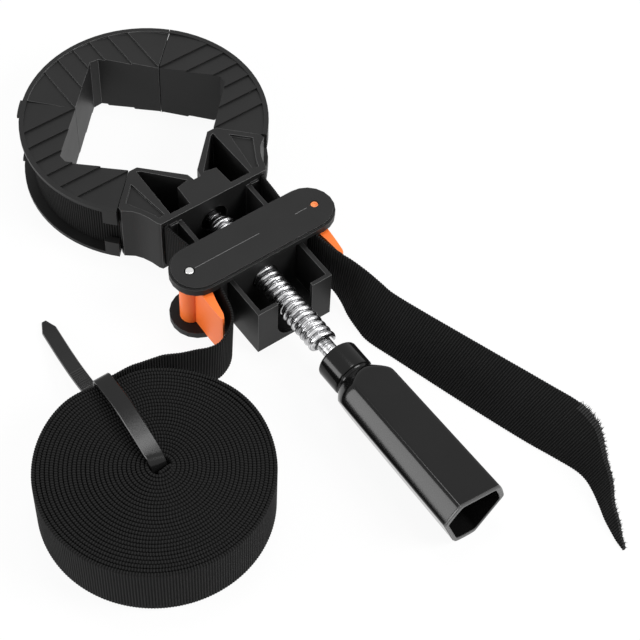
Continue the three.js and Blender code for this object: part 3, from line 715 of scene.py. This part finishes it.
def make_hole_and_post():
    """The narrow hole over the right cam, with the end of the cam's post in it."""
    depth = bushing_depth + post_sink
    bushing = cylinder(mm(sunk_hole_radius), mm(depth), mm(pin_x, carriage_y, plate_top - depth / 2))
    sink_top(bushing, sunk_hole_radius - bushing_hole_radius, bushing_depth)
    paint(bushing, satin_black)
    finish(bushing, "post_bushing", "carriage", "body_plastic")
    height = bushing_depth - post_sink
    middle = mm(pin_x, carriage_y, plate_top - bushing_depth + height / 2)
    post = cylinder(mm(post_radius), mm(height), middle)
    sink_top(post, post_rim, post_dimple)
    # The post is painted in the lighter orange, a painted highlight
    paint(post, orange_painted_highlight)
    round_edges(post, post_round, segments=2)
    finish(post, "right_cam_post", "right_cam", "orange_plastic")


# Handle: a collar, a neck and a grip of three flats and three chamfers that grows out of a round shoulder
collar_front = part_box("handle")[1].y * per_metre - ring_y
grip_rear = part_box("handle")[0].y * per_metre - ring_y
collar_radius = 8.9
collar_length = 12
collar_bore = 3.4
collar_bore_depth = 3
bore_chamfer = 0.3
# The collar's rounded ends: how far each ring lies in from its radius, and from its end
collar_front_round = ((1.2, 0), (0.6, 0.18), (0.18, 0.6), (0, 1.2))
collar_rear_round = ((0, 0.9), (0.2, 0.3), (0.7, 0))
neck_radius = 7.9
neck_length = 1.7
# The neck's hollow ends: how far each ring lies out from its radius, and from the collar or the grip
neck_front_round = ((0.3, 0.1), (0, 0.5))
neck_rear_round = ((0, 0.4), (0.4, 0))
grip_front = collar_front - collar_length - neck_length
grip_flat, grip_flat_turns = 11.5, (80, 200, 320)
grip_chamfer, grip_chamfer_turns = 14.5, (20, 140, 260)
grip_front_share = 0.93
grip_sharpness = 46
# A chamfer is a little curved: 1 would leave it flat and 0 make it part of a circle
chamfer_flatness = 0.6
shoulder_start, shoulder_end, shoulder_length = 9.1, 16.2, 13.9
shoulder_steps, body_steps = 22, 6
flat_wall, chamfer_wall = 1.6, 2.4
hollow_depth = 60
rim_step, rim_step_length = 0.3, 0.9
rim_slope, rim_round = 0.1, 0.25
handle_sides = 216
# A limit on the radius that nothing reaches
no_limit = 1e6


def handle_point(radius, turn, y):
    return mm(radius * math.cos(math.radians(turn)), y, axis_z + radius * math.sin(math.radians(turn)))


def round_ring(radius, y):
    return [handle_point(radius, 360 * k / handle_sides, y) for k in range(handle_sides)]


def grip_ring(y, flat_inset=0, chamfer_inset=0, round_limit=no_limit):
    """The grip's outline at y, with its corners rounded, no wider than a circle."""
    share = 1 + (grip_front_share - 1) * (y - grip_rear) / (grip_front - grip_rear)
    sides = [((grip_flat - flat_inset) * share, turn, 1) for turn in grip_flat_turns]
    sides += [((grip_chamfer - chamfer_inset) * share, turn, chamfer_flatness)
              for turn in grip_chamfer_turns]
    ring = []
    for k in range(handle_sides):
        turn = 360 * k / handle_sides
        total = (1 / round_limit) ** grip_sharpness
        for away, side_turn, flatness in sides:
            facing = math.cos(math.radians(turn - side_turn))
            if facing > 0:
                total += (facing ** flatness / away) ** grip_sharpness
        ring.append(handle_point(total ** (-1 / grip_sharpness), turn, y))
    return ring


def make_handle():
    collar_rear = collar_front - collar_length
    profile = [(collar_bore, collar_front - collar_bore_depth), (collar_bore, collar_front - bore_chamfer),
               (collar_bore + bore_chamfer, collar_front)]
    profile += [(collar_radius - inward, collar_front - away) for inward, away in collar_front_round]
    profile += [(collar_radius - inward, collar_rear + away) for inward, away in collar_rear_round]
    profile += [(neck_radius + outward, collar_rear - away) for outward, away in neck_front_round]
    profile += [(neck_radius + outward, grip_front + away) for outward, away in neck_rear_round]
    rows = [round_ring(radius, y) for radius, y in profile]
    for i in range(shoulder_steps + 1):
        along = i / shoulder_steps
        growth = math.sin(math.pi / 2 * along)
        limit = shoulder_start + (shoulder_end - shoulder_start) * growth
        rows.append(grip_ring(grip_front - shoulder_length * along, round_limit=limit))
    body_front = grip_front - shoulder_length
    body_length = grip_rear + rim_step_length - grip_front + shoulder_length
    rows += [grip_ring(body_front + body_length * i / body_steps) for i in range(1, body_steps + 1)]
    rim_first = len(rows) - 1
    rows += [grip_ring(grip_rear + rim_step_length - rim_slope, rim_step, rim_step),
             grip_ring(grip_rear + rim_round, rim_step, rim_step),
             grip_ring(grip_rear, rim_step + rim_round, rim_step + rim_round),
             grip_ring(grip_rear, flat_wall - rim_round, chamfer_wall - rim_round)]
    rim_last = len(rows) - 1
    rows += [grip_ring(grip_rear + inward, flat_wall, chamfer_wall) for inward in (rim_round, hollow_depth)]
    # The rim's rows take the lighter black as a painted highlight
    handle = skin("handle_grip", rows, marked=lambda row, column: rim_first <= row <= rim_last)
    paint(handle, gloss_black, gloss_painted_highlight)
    finish(handle, "handle_grip", "screw", "handle_plastic", "handle")


# Near runs of the ring, from a side jaw's middle into the head: side, word, first and last turn
near_runs = ((-1, "left", 180, 225), (1, "right", 0, -45))
# Far runs of the ring, from a side jaw's middle to the far jaw's: word, last body, first and last turn
far_runs = (("left", "far_jaw_body", 180, 90), ("right", "far_band_body", 0, 90))
# Degrees between the points of a run round the ring
arc_step = 3.75
# A near run's way through its wing of the head
wing_band = [
    (31.3, -35.5), (29, -37.9), (26.6, -41.4), (24.7, -45.5), (23.8, -49.8), (23.5, -53)]


def ring_arc(first, last):
    """Plan points of the band's line round the ring."""
    steps = round(abs(last - first) / arc_step)
    turns = [math.radians(first + (last - first) * i / steps) for i in range(steps + 1)]
    return [(ring_band_radius * math.cos(turn), ring_band_radius * math.sin(turn), ring_band_bottom)
            for turn in turns]


def make_ring_bands():
    """One band, cut where the jaws part."""
    for side, word, first, last in near_runs:
        name = "band_" + word + "_run"
        path = ring_arc(first, last) + [(x * side, y, ring_band_bottom) for x, y in wing_band]
        strip = band_on_edge(name, path)[0]
        finish_band(strip, name, None, "band_head_" + word)
        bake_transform(strip)
    for word, other, first, last in far_runs:
        name = "band_far_" + word
        strip = band_on_edge(name + "_run", ring_arc(first, last))[0]
        finish_band(strip, name + "_run", None, name, "band_" + word + "_wrap")
        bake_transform(strip)


# Band from the head to the carriage
pull_path = [
    (23.5, -53.1, 2.0), (23.3, -56, 2.3), (22.7, -62, 2.9), (22.1, -67.2, 3.35), (21.7, -75.6, 3.35),
    (21.7, -79.7, 3.35)]


def make_pulls():
    for side, word in ((-1, "left"), (1, "right")):
        name = "band_" + word + "_pull"
        strip = band_on_edge(name, [(x * side, y, z) for x, y, z in pull_path])[0]
        finish_band(strip, name, None, "band_pull_" + word)
        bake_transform(strip)


# Tail: where along it the slanted, frayed cut starts
tail_cut_share = 0.7
# Tufts on the cut: their number, and the seed that they are drawn from
tuft_count, tuft_seed = 260, 7
# A tuft's length, width and root, the share of its length that is sure, and the least share drawn
tuft_length, tuft_width, tuft_root = 1.9, 0.3, 0.3
tuft_sure_share, tuft_drawn_share = 0.35, 0.35
# How far a tuft leans along the cut, down and up, and the rise past which it counts as upright
tuft_lean, tuft_down, tuft_up = 0.9, 0.15, 0.4
upright_share = 0.9


def tuft(shape, root, way, length, width):
    """A short pointed end of yarn."""
    level = Vector((0, 0, 1)) if abs(way.z) < upright_share else Vector((1, 0, 0))
    side = way.cross(level).normalized()
    other = way.cross(side)
    base = [shape.verts.new(root + (side * math.cos(turn) + other * math.sin(turn)) * width)
            for turn in (0, 2 * math.pi / 3, 4 * math.pi / 3)]
    tip = shape.verts.new(root + way * length)
    for i in range(3):
        shape.faces.new((base[i], base[(i + 1) % 3], tip)).material_index = 1
    shape.faces.new(base[::-1]).material_index = 1


def fray(strip, lows, highs):
    """Adds tufts along the cut edge."""
    chance = random.Random(tuft_seed)
    shape = bmesh.new()
    shape.from_mesh(strip.data)
    count = len(highs)
    for i in range(tuft_count):
        at = tail_cut_share + (1 - tail_cut_share) * (i + chance.random()) / tuft_count
        k = min(int(at * (count - 1)), count - 2)
        across = (highs[k] - lows[k]).normalized()
        along = (highs[k + 1] - highs[k]).normalized()
        sideways = along * chance.uniform(-tuft_lean, tuft_lean)
        way = (across + sideways + Vector((0, 0, chance.uniform(-tuft_down, tuft_up)))).normalized()
        size = chance.uniform(tuft_drawn_share, 1) ** 2
        tuft(shape, highs[k] - across * mm(tuft_root), way, mm(tuft_length) * (tuft_sure_share + size),
             mm(tuft_width))
    bmesh.ops.recalc_face_normals(shape, faces=shape.faces)
    shape.to_mesh(strip.data)
    shape.free()


def make_tail():
    strip, length, (centre, lows, highs) = leaning_band("band_tail_end", tail_route, tail_cut_share)
    fray(strip, lows, highs)
    finish_band(strip, "band_tail_end", "carriage", "band_tail", finishes=(webbing, frayed))


def make_lead():
    strip, length, _ = leaning_band("band_lead_run", lead_route)
    finish_band(strip, "band_lead_run", None, "band_lead")
    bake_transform(strip)


# Coil: where its middle is, its size, and the pitch of its loops
coil_x = -88.2
coil_back = 65.1
coil_radius = 45.6
coil_pitch = 1.6
# Rolled up, the band's loops almost touch, and the ribs of the inner ones are pressed flatter
coil_band_thickness, coil_relief = 1.56, 0.1
coil_inner = 4.6
coil_bottom = 1.5
coil_start = 78
coil_outer_loops = 3
coil_loop_steps = 72
coil_step = rib_pitch / 4
core_shift = (1.5, -0.3)
# Way of the band's end, which curls up in the core
core_curl = (
    (-4.3, -1.2), (-2.9, -3.2), (0, -4.1), (2.9, -3.6), (4, -2.5), (2.9, -1.9), (0, -2.3), (-1.8, -2.4))
# Dent under the tie, and slack of the outer loops, whose number is last: depth, turn, spread
tie_dent, tie_dent_turn, tie_dent_spread = 2.6, 84.5, 14
slack, slack_turn, slack_spread, slack_loops = 1.2, 12, 24, 3


def near(turn, middle, spread):
    """1 at the middle, and less with every degree away from it."""
    away = (turn - middle + 180) % 360 - 180
    return math.exp(-(away / spread) ** 2)


def coil_point(done, loops):
    """Where the coil's line is after that many loops."""
    degrees = coil_start + done * 360
    dent = tie_dent * near(degrees, tie_dent_turn, tie_dent_spread) * (1 - done / loops)
    bulge = slack * near(degrees, slack_turn, slack_spread) * max(0, 1 - done / slack_loops)
    radius = coil_radius - band_thickness / 2 - done * coil_pitch - dent + bulge
    x = coil_x + core_shift[0] * done / loops + radius * math.cos(math.radians(degrees))
    y = carriage_y - coil_back + core_shift[1] * done / loops + radius * math.sin(math.radians(degrees))
    return x, y, coil_bottom


def make_coil():
    """The roll in two pieces: its outermost loops, and the rest with the band's end curled up inside."""
    loops = (coil_radius - band_thickness / 2 - coil_inner) / coil_pitch
    for name, first, last, shares, relief in (
            ("band_roll_outside", 0, coil_outer_loops, wide_shares, rib_height),
            ("band_roll", coil_outer_loops, loops, coil_shares, coil_relief)):
        steps = round((last - first) * coil_loop_steps)
        path = [coil_point(first + (last - first) * i / steps, loops) for i in range(steps + 1)]
        if last == loops:
            path += [(coil_x + core_shift[0] + x, carriage_y - coil_back + core_shift[1] + y, coil_bottom)
                     for x, y in core_curl]
        strip, length = band_on_edge(name, path, coil_step, shares, coil_band_thickness, relief)
        finish_band(strip, name, "frame", "band_coil")


# Cable tie's line, as shares of the coil's radius from its centre, and of the band's width for its height
tie_loop_shares = (
    (0.092, 0.972, 0.42), (0.092, 0.972, 0.96), (0.092, 0.971, 1.08), (0.09, 0.952, 1.132),
    (0.086, 0.899, 1.176), (0.072, 0.594, 1.224), (0.05, 0.287, 1.196), (0.039, 0.112, 1.148),
    (0.035, 0.046, 1.104), (0.033, 0.007, 1), (0.033, -0.007, 0.84), (0.033, -0.007, 0.16),
    (0.033, 0.011, 0.064), (0.033, 0.055, 0.028), (0.059, 0.55, 0.028), (0.09, 0.961, 0.028),
    (0.092, 0.967, 0.044), (0.092, 0.972, 0.096), (0.092, 0.972, 0.36))
tie_tail_shares = (
    (0.086, 0.998, 0.424), (0.07, 1.164, 0.404), (0.083, 1.384, 0.32), (0.114, 1.647, 0.196),
    (0.154, 1.954, 0.08), (0.171, 2.112, 0.048))
tie_width, tie_tail_width, tie_thickness = 6.9, 6.4, 1.1
tie_edge = 0.3
tie_step = 0.3
# The raised middle of its outer side starts this many edge widths in
tie_crown_edges = 2.2
# Fold into the core, where the strap's right edge goes down first: its place, its reach and that lead
fold_share, fold_spread, fold_lag = 0.05, 0.07, 2.2
tie_tooth_pitch, tie_tooth_rise, tie_teeth_reach = 1.25, 0.22, 19
tie_tip_length, tie_tip_width = 5, 2.2
lock_low, lock_high = (-88.2, -21.1, 6.5), (-79.8, -15.7, 13.5)
lock_round = 0.8


def tie_place(x, y, z):
    return mm(coil_x + x * coil_radius, carriage_y - coil_back + y * coil_radius, z * band_width)


def strap(name, places, width_at, lag_at=None, rise_at=None):
    """A flat strap along a line of places, level across, with rounded edges. Its two edges may dive
    apart, and teeth may rise on it."""
    line, length = smooth_path([tie_place(*shares) for shares in places], mm(tie_step))
    rows = []
    count = len(line)
    thick, edge = mm(tie_thickness) / 2, mm(tie_edge)
    crown = tie_crown_edges * edge
    for i, at in enumerate(line):
        along = (line[min(i + 1, count - 1)] - line[max(i - 1, 0)]).normalized()
        across = (Vector((1, 0, 0)) + along * (lag_at(at) if lag_at else 0)).normalized()
        out = across.cross(along).normalized()
        u = length * i / (count - 1) * per_metre
        half = mm(width_at(u, length * per_metre)) / 2
        top = thick + (mm(rise_at(u)) if rise_at else 0)
        outline = ((-half, thick - edge), (edge - half, thick), (crown - half, top), (half - crown, top),
                   (half - edge, thick), (half, thick - edge), (half, edge - thick), (half - edge, -thick),
                   (edge - half, -thick), (-half, edge - thick))
        rows.append([at + across * side + out * up for side, up in outline])
    # Faces after columns 0 and 4 are the two rounded edges along one face, which take the lighter nylon as
    # a painted highlight
    return skin(name, rows, marked=lambda row, column: column in (0, 4))


def fold_lag_at(at):
    """How much further the strap's right edge has gone at that point."""
    centre_y = carriage_y - coil_back + ring_y
    share = (at.y * per_metre - centre_y) / coil_radius
    high = at.z * per_metre > band_width
    return fold_lag * math.exp(-((share - fold_share) / fold_spread) ** 2) / tie_width if high else 0


def tooth_rise_at(u):
    if u > tie_teeth_reach:
        return 0
    return tie_tooth_rise * (0.5 + 0.5 * math.cos(2 * math.pi * u / tie_tooth_pitch))


def tail_width_at(u, length):
    left = length - u
    if left > tie_tip_length:
        return tie_tail_width
    return tie_tip_width + (tie_tail_width - tie_tip_width) * left / tie_tip_length


def make_tie():
    """The tie goes up the coil's far side, over its top, down the core and back beneath."""
    loop = strap("cable_tie_strap", tie_loop_shares, lambda u, length: tie_width, lag_at=fold_lag_at)
    tail = strap("cable_tie_tail", tie_tail_shares, tail_width_at, rise_at=tooth_rise_at)
    low, high = (mm(x, y + carriage_y, z) for x, y, z in (lock_low, lock_high))
    lock = block((low + high) / 2, high - low)
    round_edges(lock, lock_round, segments=3)
    for piece, name in ((loop, "cable_tie_strap"), (tail, "cable_tie_tail"), (lock, "cable_tie_lock")):
        paint(piece, nylon, nylon_painted_highlight)
        finish(piece, name, "frame", "nylon_tie", "cable_tie", angle=nylon_angle)


# Screw: a rolled thread over its root, and a plain shank that reaches into the handle
thread_pitch = 3
thread_root = 4.7
thread_major = 5.8
thread_front = -55
thread_turns = 24
thread_steps = 12
thread_crest_sharpness = 0.55
# Share of the pitch before a crest starts, and how far the thread's foot is sunk into the root
thread_foot_share, thread_sink = 0.06, 0.5
thread_core_round = 0.9
# Rear end of the shank's front stretch, which is painted dark as painted shade
painted_shade_shank_rear = -54.6
shank_radius = 3.2
shank_ends = (-45, -144)


def screw_cylinder(radius, front, length):
    return cylinder(mm(radius), mm(length), mm(0, front - length / 2, axis_z), lying=True)


def make_thread():
    """The thread as one closed winding, turned from the profile of a crest."""
    profile = bpy.data.meshes.new("thread")
    points = [(thread_root - thread_sink, 0)]
    for i in range(thread_steps + 1):
        rise = math.sin(math.pi * i / thread_steps) ** thread_crest_sharpness
        along = thread_pitch * (thread_foot_share + (1 - 2 * thread_foot_share) * i / thread_steps)
        points.append((thread_root + (thread_major - thread_root) * rise, along))
    points.append((thread_root - thread_sink, thread_pitch))
    edges = [(i, (i + 1) % len(points)) for i in range(len(points))]
    profile.from_pydata([(mm(r), -mm(y), 0) for r, y in points], edges, [])
    thread = add_object("thread", profile)
    apply_modifier(thread, "SCREW", axis="Y", angle=2 * math.pi, screw_offset=-mm(thread_pitch),
                   iterations=thread_turns, steps=round_sides, render_steps=round_sides,
                   use_merge_vertices=True, merge_threshold=mm(thread_gap))
    bpy.ops.object.mode_set(mode="EDIT")
    bpy.ops.mesh.select_mode(type="EDGE")
    bpy.ops.mesh.select_all(action="DESELECT")
    bpy.ops.mesh.select_non_manifold()
    bpy.ops.mesh.fill()
    bpy.ops.mesh.select_all(action="SELECT")
    bpy.ops.mesh.normals_make_consistent(inside=False)
    bpy.ops.object.mode_set(mode="OBJECT")
    thread.location = mm(0, thread_front, axis_z)
    place(thread)
    return thread


def make_screw():
    shank = screw_cylinder(shank_radius, shank_ends[0], shank_ends[0] - shank_ends[1])
    core = screw_cylinder(thread_root, thread_front, thread_turns * thread_pitch)
    round_edges(core, thread_core_round, segments=2)
    thread = make_thread()
    alone(shank)
    core.select_set(True)
    thread.select_set(True)
    bpy.ops.object.join()
    paint(shank, rolled_zinc, dark_steel_and_painted_shade)
    # Faces ahead of that end take the dark steel, painted shade on the shank
    for face in shank.data.polygons:
        face.material_index = 1 if face.center.y > mm(0, painted_shade_shank_rear, 0).y else 0
    finish(shank, "screw_thread", "screw", "zinc_steel", "lead_screw", angle=screw_angle, flats=False)


# Pivot pins, as long as the CAD's, with rounded ends
pin_radius, pin_round = 1.75, 0.45


def make_pins():
    for word in ("left", "right"):
        low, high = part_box(word + "_pivot_pin")
        pin = cylinder(mm(pin_radius), high.z - low.z, (low + high) / 2, pin_sides)
        round_edges(pin, pin_round, segments=3)
        paint(pin, zinc)
        finish(pin, word + "_pin", "carriage", "zinc_steel", word + "_pivot_pin")


make_tail()
make_moulded()
make_mould_line()
make_hole_and_post()
make_handle()
make_ring_bands()
make_pulls()
make_coil()
make_tie()
make_lead()
make_screw()
make_pins()
for name in ("thrust_washer", "nose_clip", "tension_nut"):
    paint(nodes[name], dark_steel_and_painted_shade)

bpy.context.scene.view_settings.view_transform = "Standard"
